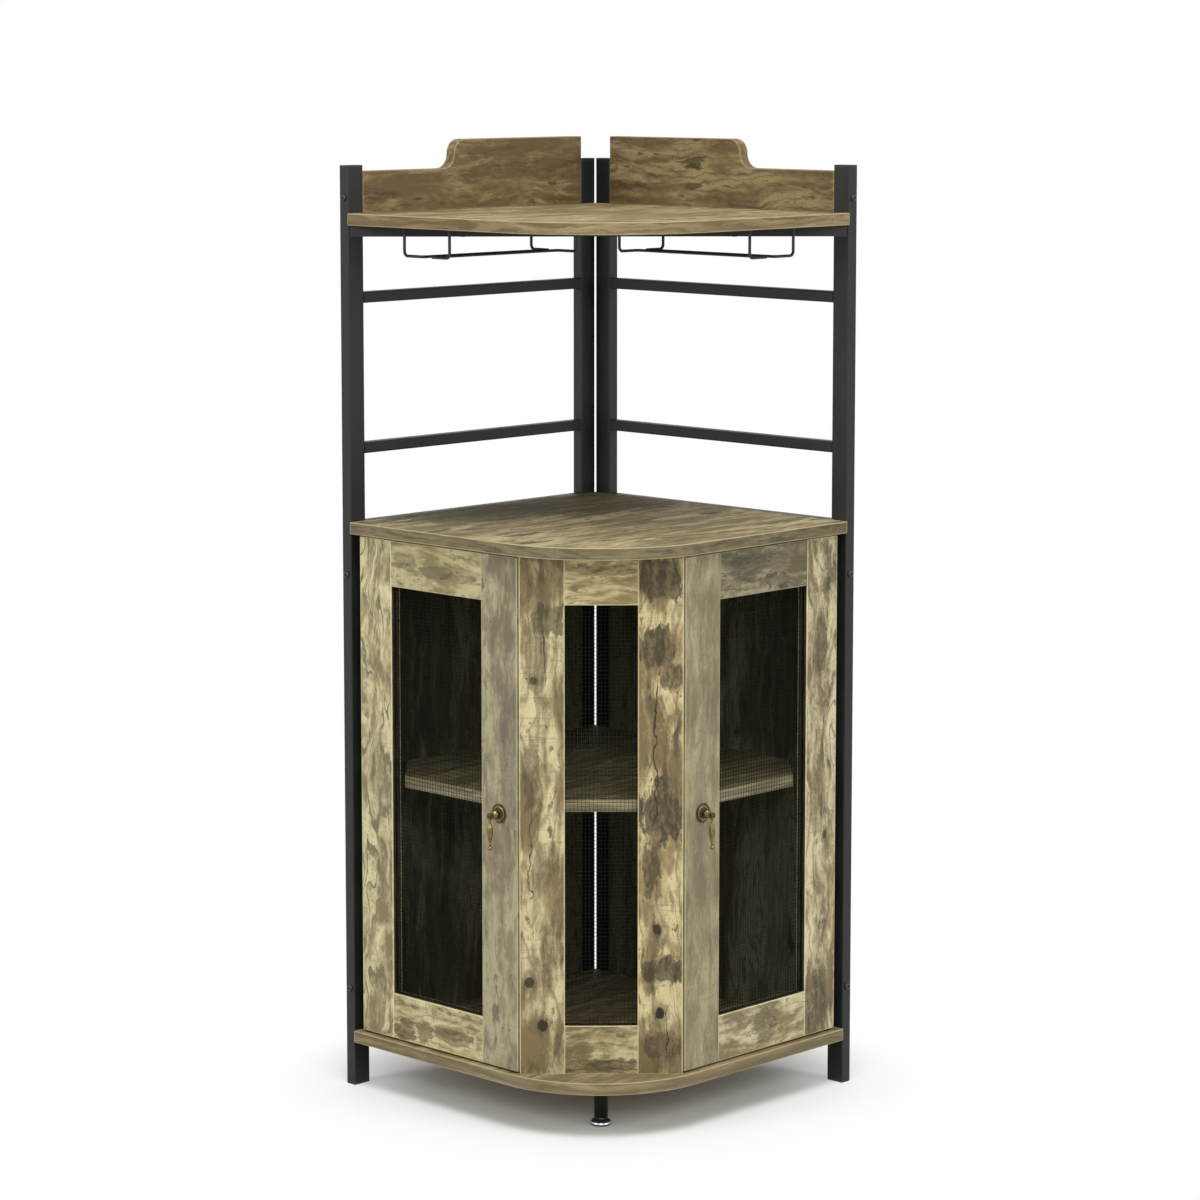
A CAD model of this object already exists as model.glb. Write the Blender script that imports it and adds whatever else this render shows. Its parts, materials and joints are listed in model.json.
"""Corner bar cabinet: worn printed boards in a black tube frame, with mesh doors and glass racks."""
import json
import math

import bmesh
import bpy
import numpy as np
from mathutils import Matrix, Vector

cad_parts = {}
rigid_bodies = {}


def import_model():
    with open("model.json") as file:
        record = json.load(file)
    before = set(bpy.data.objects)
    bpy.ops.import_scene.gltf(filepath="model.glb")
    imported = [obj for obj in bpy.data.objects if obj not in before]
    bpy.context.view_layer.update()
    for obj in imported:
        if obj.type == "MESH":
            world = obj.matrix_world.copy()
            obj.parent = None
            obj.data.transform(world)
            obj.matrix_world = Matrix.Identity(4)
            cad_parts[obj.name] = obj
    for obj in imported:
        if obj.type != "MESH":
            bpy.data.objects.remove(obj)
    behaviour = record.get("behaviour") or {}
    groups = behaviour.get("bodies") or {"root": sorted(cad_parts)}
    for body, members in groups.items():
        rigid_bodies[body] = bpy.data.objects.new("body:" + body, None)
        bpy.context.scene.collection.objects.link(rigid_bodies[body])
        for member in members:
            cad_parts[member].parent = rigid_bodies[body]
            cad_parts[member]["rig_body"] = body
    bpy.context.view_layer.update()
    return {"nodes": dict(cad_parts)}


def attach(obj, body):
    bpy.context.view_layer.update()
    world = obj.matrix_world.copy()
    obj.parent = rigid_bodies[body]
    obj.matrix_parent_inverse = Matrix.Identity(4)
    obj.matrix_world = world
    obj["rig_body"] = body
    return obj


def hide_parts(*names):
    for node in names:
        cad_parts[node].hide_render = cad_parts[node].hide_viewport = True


for left_over in list(bpy.data.objects):
    bpy.data.objects.remove(left_over)
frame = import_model()

bpy.context.scene.view_settings.view_transform = "Standard"
ROOT2 = math.sqrt(2)
SQUARE = math.pi / 2
SIDES = ("left", "right")


# Places, in millimetres

def node_points(node):
    """The vertices of a CAD node, in millimetres."""
    mesh = frame["nodes"][node].data
    flat = np.empty(len(mesh.vertices) * 3, np.float32)
    mesh.vertices.foreach_get("co", flat)
    return flat.reshape(-1, 3).astype(float) * 1000


rear_corner = node_points("left_rear_panel")
CORNER = (rear_corner[:, 1] - rear_corner[:, 0]).max()


def on_wall(side):
    """Wall coordinates to room: s runs along the wall from the corner and t into the room, so x is (t - s)
    over root 2 and y is the corner less (s + t) over root 2; the right wall is the mirror image."""
    hand = 1 if side == "left" else -1

    def place(s, t, z):
        s, t, z = np.broadcast_arrays(s, t, z)
        return np.stack([hand * (t - s) / ROOT2, CORNER - (s + t) / ROOT2, z], -1)
    return place


def across(x, d, z):
    """Places measured across the cabinet: d is the distance from the wall corner towards the room."""
    x, d, z = np.broadcast_arrays(x, d, z)
    return np.stack([x, CORNER - d, z], -1)


def span(node, side=None):
    """The lowest and highest (s, t, z) of a node on its wall, or (x, d, z) across the cabinet."""
    x, y, z = node_points(node).T
    d = CORNER - y
    if side:
        x = x if side == "left" else -x
        x, d = (d - x) / ROOT2, (d + x) / ROOT2
    spread = np.stack([x, d, z])
    return spread.min(1), spread.max(1)


# Shapes

def ring_faces(rows, columns):
    """The numbers of a grid's points, and the faces between neighbouring rows, each a closed ring."""
    index = np.arange(rows * columns).reshape(rows, columns)
    right = np.roll(index, -1, 1)
    return index, np.stack([index[:-1], right[:-1], right[1:], index[1:]], -1).reshape(-1, 4)


def unit(rows):
    """Each row divided by its length."""
    return rows / np.linalg.norm(rows, axis=-1, keepdims=True)


def round_angles(sides):
    """The angles of a ring's points."""
    return np.linspace(0, 2 * math.pi, sides, endpoint=False)


def eased(corners, radius, strip=0.5):
    """An outline whose outward corners are quarter rounds with a narrow strip on each side of the round. A
    corner's arc is centre + radius (cos, sin) of an angle that goes from the arriving side's normal to the
    leaving side's. Returns the points and, for the side after each point, 1 where it belongs to an arris."""
    corners = np.asarray(corners, float)
    ahead = unit(np.roll(corners, -1, 0) - corners)
    behind = np.roll(ahead, 1, 0)
    turn = np.arctan2(behind[:, 0] * ahead[:, 1] - behind[:, 1] * ahead[:, 0], (behind * ahead).sum(1))
    sharp = turn > 0.3
    lead = radius * np.tan(turn / 2)[:, None]
    centre = corners - behind * lead + radius * np.stack([-behind[:, 1], behind[:, 0]], 1)
    arrival = np.arctan2(behind[:, 1], behind[:, 0])[:, None] - SQUARE
    angle = arrival + turn[:, None] * np.linspace(0, 1, 4)
    arc = centre[:, None] + radius * np.stack([np.cos(angle), np.sin(angle)], -1)
    before = (corners - behind * (lead + strip))[:, None]
    after = (corners + ahead * (lead + strip))[:, None]
    ring = np.concatenate([before, arc, after], 1)
    ring[~sharp, 0] = corners[~sharp]
    keep = np.repeat(sharp[:, None], 6, 1)
    keep[:, 0] = True
    arris = np.ones((len(corners), 6))
    arris[:, 5] = 0
    arris[~sharp] = 0
    return ring[keep], arris[keep]


def bar(outline, low, high, place, ease=0.8, strip=0.3, order="abc"):
    """A closed bar: an outline (a, b) carried from low to high along c. Near both ends each row moves inwards
    by ease (1 - sin f) while it rises by ease (1 - cos f), and a flat cap closes each end."""
    points, arris = outline
    ahead = unit(np.roll(points, -1, 0) - points)
    normal = np.stack([ahead[:, 1], -ahead[:, 0]], 1)
    before = np.roll(normal, 1, 0)
    mitre = (normal + before) / (1 + (normal * before).sum(1, keepdims=True))
    f = np.linspace(0, SQUARE, 4)
    inset = np.concatenate([[ease + strip], ease * (1 - np.sin(f)), [0]])
    rise = np.concatenate([[0], ease * (1 - np.cos(f)), [ease + strip]])
    inset = np.concatenate([inset, inset[::-1]])
    c = np.concatenate([low + rise, (high - rise)[::-1]])
    grid = points[None] - inset[:, None, None] * mitre[None]
    rows, columns = grid.shape[:2]
    axes = {"a": grid[..., 0], "b": grid[..., 1], "c": np.repeat(c[:, None], columns, 1)}
    index, quads = ring_faces(rows, columns)
    worn = np.ones((rows - 1, columns))
    worn[rows // 2 - 1] = arris
    length = np.linalg.norm(np.roll(points, -1, 0) - points, axis=1)
    run = np.concatenate([[0], np.cumsum(length)])
    start, stop = np.repeat(run[None, :-1], rows, 0), np.repeat(run[None, 1:], rows, 0)
    band = np.stack([start[:-1], stop[:-1], stop[1:], start[1:]], -1).reshape(-1, 4)
    return {"points": place(*(axes[k] for k in order)).reshape(-1, 3), "faces": quads,
            "caps": [index[0][::-1], index[-1]], "worn": worn.ravel(), "run": band}


def per_side(values, sides):
    """A profile's values as rows of one value per side; a grid stays as it is."""
    values = np.asarray(values, float)
    return values if values.ndim == 2 else np.repeat(values[:, None], sides, 1)


def turned(radii, heights, sides, place, hollow=None):
    """A turned form: rows of radius r at height h, with points (r cos, r sin, h). The first and last row have
    radius 0 and are one pole each, closed by a fan. Hollow marks the rows that keep their patina."""
    radii, heights = per_side(radii, sides), per_side(heights, sides)
    angle = round_angles(sides)
    points = place(radii[1:-1] * np.cos(angle), radii[1:-1] * np.sin(angle), heights[1:-1]).reshape(-1, 3)
    poles = place(np.zeros(2), np.zeros(2), heights[[0, -1], 0])
    rows = len(radii) - 2
    index, quads = ring_faces(rows, sides)
    right = np.roll(index, -1, 1)
    first_pole = rows * sides
    fans = np.concatenate([np.stack([right[0], index[0], np.full(sides, first_pole)], 1),
                           np.stack([index[-1], right[-1], np.full(sides, first_pole + 1)], 1)])
    worn = np.zeros(rows - 1) if hollow is None else np.asarray(hollow, float)[1:rows]
    return {"points": np.concatenate([points, poles]), "faces": quads, "caps": list(fans),
            "worn": np.repeat(worn, sides)}


def swept(path, radius, sides, place):
    """A round wire: rings of the radius square to a path, on two directions found from a slanting one."""
    path = np.asarray(path, float)
    along = unit(np.gradient(path, axis=0))
    slanting = np.array([0.31, 0.52, 0.79])
    first = unit(np.cross(along, slanting))
    second = np.cross(along, first)
    angle = round_angles(sides)[None, :, None]
    ring = path[:, None] + radius * (np.cos(angle) * first[:, None] + np.sin(angle) * second[:, None])
    index, quads = ring_faces(len(path), sides)
    return {"points": place(*np.moveaxis(ring, -1, 0)).reshape(-1, 3), "faces": quads,
            "caps": [index[0][::-1], index[-1]]}


def bent(corners, radius, steps=6):
    """A path through square corners whose inner corners are arcs: each arc point is the corner plus the
    arriving side times radius (sin f - 1) plus the leaving side times radius (1 - cos f)."""
    corners = np.asarray(corners, float)
    side = unit(np.diff(corners, axis=0))
    f = np.linspace(0, SQUARE, steps)[None, :, None]
    arriving, leaving = side[:-1, None], side[1:, None]
    inner = corners[1:-1, None] + radius * ((np.sin(f) - 1) * arriving + (1 - np.cos(f)) * leaving)
    return np.concatenate([corners[:1], inner.reshape(-1, 3), corners[-1:]])


# Putting a shape into the scene

def smoothed(mesh, sharp):
    """Shades a mesh smooth, except over edges that turn by more than sharp degrees."""
    mesh.polygons.foreach_set("use_smooth", np.ones(len(mesh.polygons), bool))
    mesh.set_sharp_from_angle(angle=math.radians(sharp))


def make(name, shells, finish, body, node, sharp=35):
    """One object at the origin from closed shells, in place of a CAD node. A shell whose volume comes out
    negative, as the sum of the triple products of its triangles, is turned inside out first."""
    points, faces, worn, run = [], [], [], []
    start = 0
    for shell in shells:
        quads, caps = shell["faces"], [np.asarray(c) for c in shell["caps"]]
        p = shell["points"]
        a, b, c, d = (p[quads[:, k]] for k in range(4))
        volume = (np.cross(a, b) * c).sum() + (np.cross(a, c) * d).sum()
        volume += sum((np.cross(p[k[0]][None], p[k[1:-1]]) * p[k[2:]]).sum() for k in caps)
        turn = slice(None, None, -1 if volume < 0 else 1)
        shell_run = shell.get("run", np.zeros((len(quads), 4)))
        points.append(p)
        faces += (quads[:, turn] + start).tolist() + [(k[turn] + start).tolist() for k in caps]
        worn.append(np.concatenate([shell.get("worn", np.zeros(len(quads))), np.zeros(len(caps))]))
        run.append(np.concatenate([shell_run[:, turn].ravel(), np.full(sum(map(len, caps)), -1.0)]))
        start += len(p)
    mesh = bpy.data.meshes.new(name)
    mesh.from_pydata((np.concatenate(points) / 1000).tolist(), [], faces)
    for attribute, domain, values in (("mark", "FACE", worn), ("run", "CORNER", run)):
        layer = mesh.attributes.new(attribute, "FLOAT", domain)
        layer.data.foreach_set("value", np.concatenate(values).astype(np.float32))
    smoothed(mesh, sharp)
    mesh.materials.append(finish)
    piece = bpy.data.objects.new(name, mesh)
    bpy.context.scene.collection.objects.link(piece)
    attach(piece, body)
    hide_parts(node)


def dressed(node, finish, bevel=0.0):
    """A copy of a CAD node with its loose triangles merged, shaded smooth up to its sharp edges."""
    source = frame["nodes"][node]
    mesh = source.data.copy()
    mesh.name = node + "_finished"
    work = bpy.data.objects.new(node + "_finished", mesh)
    bpy.context.scene.collection.objects.link(work)
    net = bmesh.new()
    net.from_mesh(mesh)
    bmesh.ops.remove_doubles(net, verts=net.verts, dist=1e-6)
    if bevel:
        bmesh.ops.dissolve_limit(net, angle_limit=math.radians(1), verts=net.verts, edges=net.edges)
    net.to_mesh(mesh)
    net.free()
    if bevel:
        ease = work.modifiers.new("eased edges", "BEVEL")
        ease.width, ease.segments, ease.limit_method = bevel, 2, "ANGLE"
        ease.angle_limit = math.radians(40)
        ease.harden_normals = True
    smoothed(mesh, 35)
    coat(finish, work)
    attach(work, source["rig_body"])
    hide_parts(node)


def coat(finish, *pieces):
    """Gives each piece one finish all over."""
    for piece in pieces:
        piece.data.materials.clear()
        piece.data.materials.append(finish)


# Finishes

def paint(red, green, blue):
    """A colour given as it looks on a screen, from 0 to 255, as the linear values that a socket takes."""
    c = np.array([red, green, blue]) / 255
    return (*np.where(c <= 0.04045, c / 12.92, ((c + 0.055) / 1.055) ** 2.4).tolist(), 1.0)


def lighter(colour, by):
    """A screen colour times a number, kept under the white of a matt print."""
    return paint(*(min(by * c, 230) for c in colour))


def between(a, b, share):
    """The colour at a share of the way from a to b."""
    return [x + (y - x) * share for x, y in zip(a, b)]


def math_node(operation, swapped=False):
    """A method of Feed that adds one Math node, with the other value first where it is swapped."""
    def method(feed, other):
        return feed.maths(operation, *((other, feed) if swapped else (feed, other)))
    return method


class Feed:
    """A socket in a finish: sums and products of feeds and numbers add the Math nodes they need."""

    def __init__(self, finish, socket):
        self.finish = finish
        self.socket = socket

    def maths(self, operation, *values):
        """One Math node."""
        return self.finish.add("ShaderNodeMath", {"operation": operation}, dict(enumerate(values)))

    def __abs__(self):
        return self.maths("ABSOLUTE", self)

    __add__ = math_node("ADD")
    __radd__ = math_node("ADD", swapped=True)
    __sub__ = math_node("SUBTRACT")
    __rsub__ = math_node("SUBTRACT", swapped=True)
    __mul__ = math_node("MULTIPLY")
    __truediv__ = math_node("DIVIDE")
    __pow__ = math_node("POWER")
    most = math_node("MAXIMUM")
    least = math_node("MINIMUM")
    there_and_back = math_node("PINGPONG")

    def step(self, low, high):
        """0 up to low, 1 from high, with a soft rise between; the other way round where low is the larger."""
        start, stop, first, last = (low, high, 0.0, 1.0) if low < high else (high, low, 1.0, 0.0)
        return self.finish.add("ShaderNodeMapRange", {"interpolation_type": "SMOOTHSTEP"},
                               {0: self, 1: start, 2: stop, 3: first, 4: last})


class Finish:
    """A material, or the world, whose nodes are added one by one."""

    def __init__(self, name, owner=None):
        self.owner = owner or bpy.data.materials.new(name)
        self.owner.use_nodes = True
        self.tree = self.owner.node_tree
        self.tree.nodes.clear()

    def add(self, kind, settings=None, sockets=None, out=0):
        """One node: its settings first, a ramp's stops among them, then its sockets' values or links."""
        node = self.tree.nodes.new(kind)
        for key, value in (settings or {}).items():
            if key == "stops":
                ramp = node.color_ramp.elements
                while len(ramp) < len(value):
                    ramp.new(0.5)
                for element, (at, colour) in zip(ramp, value):
                    element.position = at
                    element.color = colour
            else:
                setattr(node, key, value)
        for key, value in (sockets or {}).items():
            if isinstance(value, Feed):
                self.tree.links.new(value.socket, node.inputs[key])
            else:
                node.inputs[key].default_value = value
        return Feed(self, node.outputs[out]) if node.outputs else node

    def blend(self, a, b, factor):
        """The colour a, and b where the factor is 1."""
        return self.add("ShaderNodeMix", {"data_type": "RGBA"}, {0: factor, 6: a, 7: b}, out=2)

    def place(self):
        """Object coordinates, in metres."""
        return self.add("ShaderNodeTexCoord", out=3)

    def attribute(self, name):
        """A number kept on the faces or corners of the mesh."""
        return self.add("ShaderNodeAttribute", {"attribute_name": name}, out=2)

    def stretch(self, vector, *by):
        """A vector times three numbers."""
        return self.add("ShaderNodeVectorMath", {"operation": "MULTIPLY"}, {0: vector, 1: by})

    def shift(self, vector, by):
        """A vector plus another."""
        return self.add("ShaderNodeVectorMath", {"operation": "ADD"}, {0: vector, 1: by})

    def noise(self, vector, detail, rough):
        """Noise of one unit a lump."""
        return self.add("ShaderNodeTexNoise", {},
                        {"Vector": vector, "Scale": 1.0, "Detail": detail, "Roughness": rough})

    def lumps(self, per_metre, detail, rough=0.5):
        """Noise with so many lumps a metre along x, y and z of the object."""
        return self.noise(self.stretch(self.place(), *per_metre), detail, rough)

    def parts(self, vector):
        """The x, y and z of a vector."""
        split = self.add("ShaderNodeSeparateXYZ", {}, {0: vector})
        return [Feed(self, output) for output in split.socket.node.outputs]

    def close(self, surface, relief, strength, depth):
        """The Bump node of the relief, depth metres deep, the Principled shader and the output."""
        normal = self.add("ShaderNodeBump", {}, {"Strength": strength, "Distance": depth, "Height": relief})
        shader = self.add("ShaderNodeBsdfPrincipled", {}, {**surface, "Normal": normal})
        self.add("ShaderNodeOutputMaterial", {}, {0: shader})
        return self.owner


def grain_axes(finish, centre, along, up):
    """Object coordinates turned so that x runs along the grain, y across it and z out of the face, in mm from
    the centre."""
    along, up = Vector(along).normalized(), Vector(up).normalized()
    turn = Matrix((along, up, along.cross(up))).transposed().to_euler()
    return finish.add("ShaderNodeMapping", {"vector_type": "TEXTURE"},
                      {0: finish.place(), 1: [c / 1000 for c in centre], 2: turn, 3: (0.001, 0.001, 0.001)})


def oval(u, v, a, b, ra, rb):
    """The distance of (u, v) from (a, b), as a share of the half length ra and the half width rb."""
    return (((u - a) / ra) ** 2.0 + ((v - b) / rb) ** 2.0) ** 0.5


# The layers of the board print: lumps per mm along the grain, across it and through the board, and then
# the detail and the roughness of the noise
PRINT = {
    "sway": (0.0085, 0.017, 0.017, 2.0, 0.5),
    "tremble": (0.05, 0.07, 0.05, 2.0, 0.5),
    "streaks": (0.0055, 0.085, 0.05, 4.0, 0.62),
    "fibres": (0.04, 0.66, 0.5, 2.0, 0.6),
    "clouds": (0.012, 0.021, 0.02, 3.0, 0.55),
    "blots": (0.020, 0.036, 0.03, 6.0, 0.60),
    "flakes": (0.030, 0.085, 0.08, 4.0, 0.58),
    "chips": (0.10, 0.19, 0.2, 3.0, 0.58),
    "rings": (0.0034, 0.024, 0.02, 1.0, 0.5),
    "saw": (0.30, 0.016, 0.02, 2.0, 0.6),
    "specks": (0.17, 0.27, 0.2, 1.0, 0.5),
}
MIDDLE = 0.54
TAN, WINDOW_STAIN = (150, 124, 80), (34, 31, 22)


def aged_board(name, centre, along, up, seed, deep=(104, 93, 67), mid=(156, 143, 106), pale=(198, 186, 144),
               shade=(80, 71, 53), patch=0.60, figure=0.6, streak=1.0, cloud=1.0, fleck=1.0, crack=0.7,
               saw=0.3, warm=0.35, shine=0.25, draw=1.0, stains=(), washes=(), knots=(), shakes=(),
               banded=None):
    """Matt printed foil of old boards. Its tone is a sum of clouds, ragged blots, flakes and chips, streaks
    and fibres along the grain, read through a ramp from deep to pale. Over it lie warm brown washes, dull
    patches with ragged edges, contour lines where the grain swings, wandering cracks, cross marks of a saw,
    pin specks and knots. The arrises are worn pale, and the sides that look into a window are stained dark.

    Draw stretches the pattern along the grain. Stains and knots are (along, across, half length, half width,
    strength), in mm from the centre; a wash is the same with the lift of the tone instead of a strength; a
    shake is a long crack (from, to, across, half width). Banded gives the colour of the edges, which are
    printed along the run of the outline."""
    mat = Finish(name)

    def layer(kind, vector, longer=1.0):
        per_length, per_width, per_depth, detail, rough = PRINT[kind]
        return mat.noise(mat.stretch(vector, per_length / longer, per_width, per_depth), detail, rough)

    local = grain_axes(mat, centre, along, up)
    if banded:
        run = mat.attribute("run")
        _, _, height = mat.parts(local)
        edge = mat.add("ShaderNodeCombineXYZ", {}, {0: run, 1: height * 1.5, 2: 300.0})
        is_edge = run.step(-0.6, -0.4)
        local = mat.add("ShaderNodeMix", {"data_type": "VECTOR"}, {0: is_edge, 4: local, 5: edge}, out=1)
    field = mat.shift(local, (seed * 173.3, seed * 91.7, seed * 37.9))
    u, v, _ = mat.parts(local)
    sway = layer("sway", field) - 0.5
    tremble = layer("tremble", field) - 0.5
    grain = mat.shift(field, mat.add("ShaderNodeCombineXYZ", {}, {1: sway * (60 * figure) + tremble * 9}))
    streaks, fibres = layer("streaks", grain), layer("fibres", grain)
    clouds, blots = layer("clouds", field, draw), layer("blots", field, draw)
    flakes, chips = layer("flakes", grain, draw), layer("chips", field, draw)
    rings = (layer("rings", grain) * 10 + chips * 0.3).there_and_back(0.5)
    lines = rings.step(0.16, 0.02) * clouds.step(0.36, 0.54) * figure
    ragged = blots * 0.75 + clouds * 0.25 + (chips - 0.5) * 0.16
    tone = MIDDLE + (clouds - 0.5) * (2.0 * cloud) + (ragged.step(0.43, 0.57) - 0.5) * (0.20 * cloud) \
        + (flakes - 0.5) * (1.7 * fleck) + (chips - 0.5) * (0.75 * fleck) \
        + (streaks - 0.5) * (1.5 * streak) + (fibres - 0.5) * 0.22
    for *where, lift in washes:
        far = oval(u, v, *where) + (0.5 - blots) * 1.6
        tone = tone + far.step(1.5, 0.5) * lift
    colour = mat.add("ShaderNodeValToRGB", {"stops": [
        (0.16, paint(*deep)), (0.36, paint(*between(deep, mid, 0.55))), (MIDDLE, paint(*mid)),
        (0.72, paint(*between(mid, pale, 0.6))), (0.92, paint(*pale))]}, {0: tone})
    brown = (clouds + (flakes - 0.5) * 0.4).step(0.52, 0.38)
    colour = mat.blend(colour, paint(*between(mid, TAN, 0.5)), brown * warm)
    dirt = (ragged + (streaks - 0.5) * 0.3).step(patch - 0.02, patch + 0.04)
    for *where, strength in stains:
        far = oval(u, v, *where) + (0.5 - flakes) * 2.4 + (0.5 - chips) * 1.4
        dirt = dirt.most(far.step(1.30, 0.98) * strength)
    dull = mat.blend(paint(*shade), paint(*between(shade, mid, 0.45)),
                     (chips * 0.5 + streaks * 0.5).step(0.46, 0.60))
    colour = mat.blend(colour, dull, (dirt * (0.66 + flakes * 0.5)).least(0.96))
    colour = mat.blend(colour, paint(*deep), lines * 0.85)
    split = (abs(flakes - 0.5) + (0.5 - clouds) * 0.05).step(0.010, 0.002) * chips.step(0.48, 0.56)
    colour = mat.blend(colour, lighter(shade, 0.80), split * crack * 0.55)
    vein = abs(blots - 0.56).step(0.010, 0.002) * chips.step(0.58, 0.46)
    colour = mat.blend(colour, lighter(pale, 1.03), vein * (0.35 * crack) * (1 - dirt * 0.7))
    for start, stop, beside, half in shakes:
        wander = abs(v - beside - tremble * 16 - sway * 14) + (0.5 - chips) * 2.0
        track = wander.step(half + 0.5, half - 0.3) * u.step(start, start + 18) * u.step(stop, stop - 18)
        colour = mat.blend(colour, lighter(shade, 0.72), track * 0.9)
    marks = layer("saw", field).step(0.58, 0.68) * clouds.step(0.46, 0.58)
    colour = mat.blend(colour, paint(*deep), marks * saw)
    for *where, strength in knots:
        far = oval(u, v, *where) + (chips - 0.5) * 0.8
        colour = mat.blend(colour, paint(*deep), far.step(2.3, 1.0) * (0.5 * strength))
        colour = mat.blend(colour, lighter(shade, 0.62), far.step(1.05, 0.7) * strength)
    specks = layer("specks", field).step(0.735, 0.765)
    colour = mat.blend(colour, lighter(shade, 0.7), specks * 0.7)
    if banded:
        dull_edge = paint(*between(banded, shade, 0.4))
        rubbed = mat.blend(dull_edge, lighter(banded, 1.1), streaks.step(0.40, 0.60))
        colour = mat.blend(colour, rubbed, is_edge * 0.7)
    mark = mat.attribute("mark")
    colour = mat.blend(colour, lighter(pale, 1.07), (mark.most(0.0) * (0.40 + chips * 0.6)).least(0.80))
    colour = mat.blend(colour, paint(*WINDOW_STAIN), mark.step(-0.4, -0.6) * 0.94)
    relief = fibres * 0.5 + streaks * 0.6 - dirt * 0.5 - lines * 0.5 - specks - split
    return mat.close({"Base Color": colour, "Roughness": 0.55 + dirt * 0.12 + (fibres - 0.5) * 0.2,
                      "Specular IOR Level": shine}, relief, 0.28, 0.00025)


def printed(node, *axes, **look):
    """The print of one board, named after its node."""
    return aged_board(node.replace("_", " ") + " print", *axes, **look)


def powder_coat(name, tint, rough, gloss):
    """Black powder coat: an orange-peel surface of small soft lumps, with faint dust and duller clouds."""
    mat = Finish(name)
    peel = mat.lumps((900, 900, 900), 2.0, 0.6)
    cloud = mat.lumps((28, 28, 14), 3.0, 0.6)
    dust = mat.lumps((420, 420, 420), 1.0).step(0.70, 0.80)
    colour = mat.blend(paint(*tint), lighter(tint, 1.30), cloud.step(0.35, 0.70))
    colour = mat.blend(colour, lighter(tint, 2.1), dust * 0.35)
    return mat.close({"Base Color": colour, "Roughness": rough + (cloud - 0.5) * 0.22 + peel * 0.08,
                      "Specular IOR Level": gloss}, peel, 0.22, 0.00012)


def antique_brass():
    """Aged brass: rubbed metal on the proud forms, and a brown-black patina in the hollows and in ragged
    patches."""
    mat = Finish("antique brass")
    patina = mat.lumps((260, 260, 200), 5.0, 0.65)
    fine = mat.lumps((1500, 1500, 1500), 2.0, 0.6)
    dark = (patina.step(0.46, 0.62) * 0.6 + mat.attribute("mark") * 0.9).least(1.0)
    colour = mat.blend(paint(146, 133, 82), paint(106, 95, 57), fine.step(0.3, 0.7))
    colour = mat.blend(colour, paint(34, 29, 20), dark * 0.88)
    return mat.close({"Base Color": colour, "Metallic": 1.0 - dark * 0.35, "Roughness": 0.22 + dark * 0.34},
                     fine + patina * 0.5, 0.2, 0.00008)


def zinc_steel():
    """Bright zinc plating with a faint blue-yellow cloud and fine scratches."""
    mat = Finish("zinc steel")
    cloud = mat.lumps((90, 90, 90), 3.0, 0.6)
    scratch = mat.lumps((300, 300, 4000), 2.0, 0.6)
    colour = mat.blend(paint(196, 200, 204), paint(214, 208, 186), cloud.step(0.42, 0.66))
    return mat.close({"Base Color": colour, "Metallic": 1.0, "Roughness": 0.30 + scratch * 0.14},
                     scratch, 0.15, 0.00005)


def black_plastic():
    """Moulded black plastic with a fine spark-eroded grain."""
    mat = Finish("black plastic")
    grain = mat.lumps((2200, 2200, 2200), 2.0, 0.6)
    cloud = mat.lumps((60, 60, 60), 2.0)
    colour = mat.blend(paint(24, 24, 25), paint(36, 36, 37), cloud.step(0.35, 0.65))
    return mat.close({"Base Color": colour, "Roughness": 0.46 + grain * 0.14}, grain, 0.25, 0.00006)


def beech_dowel():
    """Plain beech: pale wood with short dark flecks along the dowel."""
    mat = Finish("beech dowel")
    fleck = mat.lumps((1600, 1600, 220), 3.0, 0.7)
    band = mat.lumps((500, 500, 40), 2.0)
    colour = mat.blend(paint(206, 176, 132), paint(186, 152, 108), band.step(0.35, 0.65))
    colour = mat.blend(colour, paint(150, 114, 76), fleck.step(0.60, 0.72) * 0.7)
    return mat.close({"Base Color": colour, "Roughness": 0.62 + fleck * 0.1}, fleck, 0.3, 0.0001)


def levelling_foot():
    """The levelling foot by height: a dark rubber tread, a bare steel band, a black moulded cap, and a zinc
    stem."""
    mat = Finish("levelling foot")
    _, _, z = mat.parts(mat.stretch(mat.place(), 1000, 1000, 1000))
    grain = mat.lumps((1800, 1800, 1800), 2.0, 0.6)
    bright = (z.step(2.5, 2.6) * z.step(4.5, 4.4)).most(z.step(7.95, 8.05))
    colour = mat.blend(paint(30, 30, 30), paint(196, 198, 200), bright)
    colour = mat.blend(colour, paint(60, 58, 55), grain.step(0.62, 0.75) * (1 - bright) * 0.6)
    return mat.close({"Base Color": colour, "Metallic": bright, "Roughness": 0.55 - bright * 0.25},
                     grain, 0.2, 0.00006)


# Camera, room and lights

def set_camera():
    """The photograph's viewpoint: almost five metres off, above the worktop, with a long lens."""
    camera = bpy.data.objects.new("camera", bpy.data.cameras.new("camera"))
    bpy.context.scene.collection.objects.link(camera)
    tilt_down, pan = math.radians(6.763), -0.0152
    camera.location = (-0.0713, -4.836, 1.3957)
    camera.rotation_euler = (SQUARE - tilt_down, 0, pan)
    camera.data.sensor_width = 36
    camera.data.lens = 108.71
    camera.data.shift_y = -0.10
    camera.data.clip_end = 60
    bpy.context.scene.camera = camera


def looked_at(finish):
    """1 for what the camera sees, also in a mirror or through glass."""
    seen, mirror, through = (finish.add("ShaderNodeLightPath", out=ray) for ray in (0, 3, 6))
    return seen.most(mirror).most(through)


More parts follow.
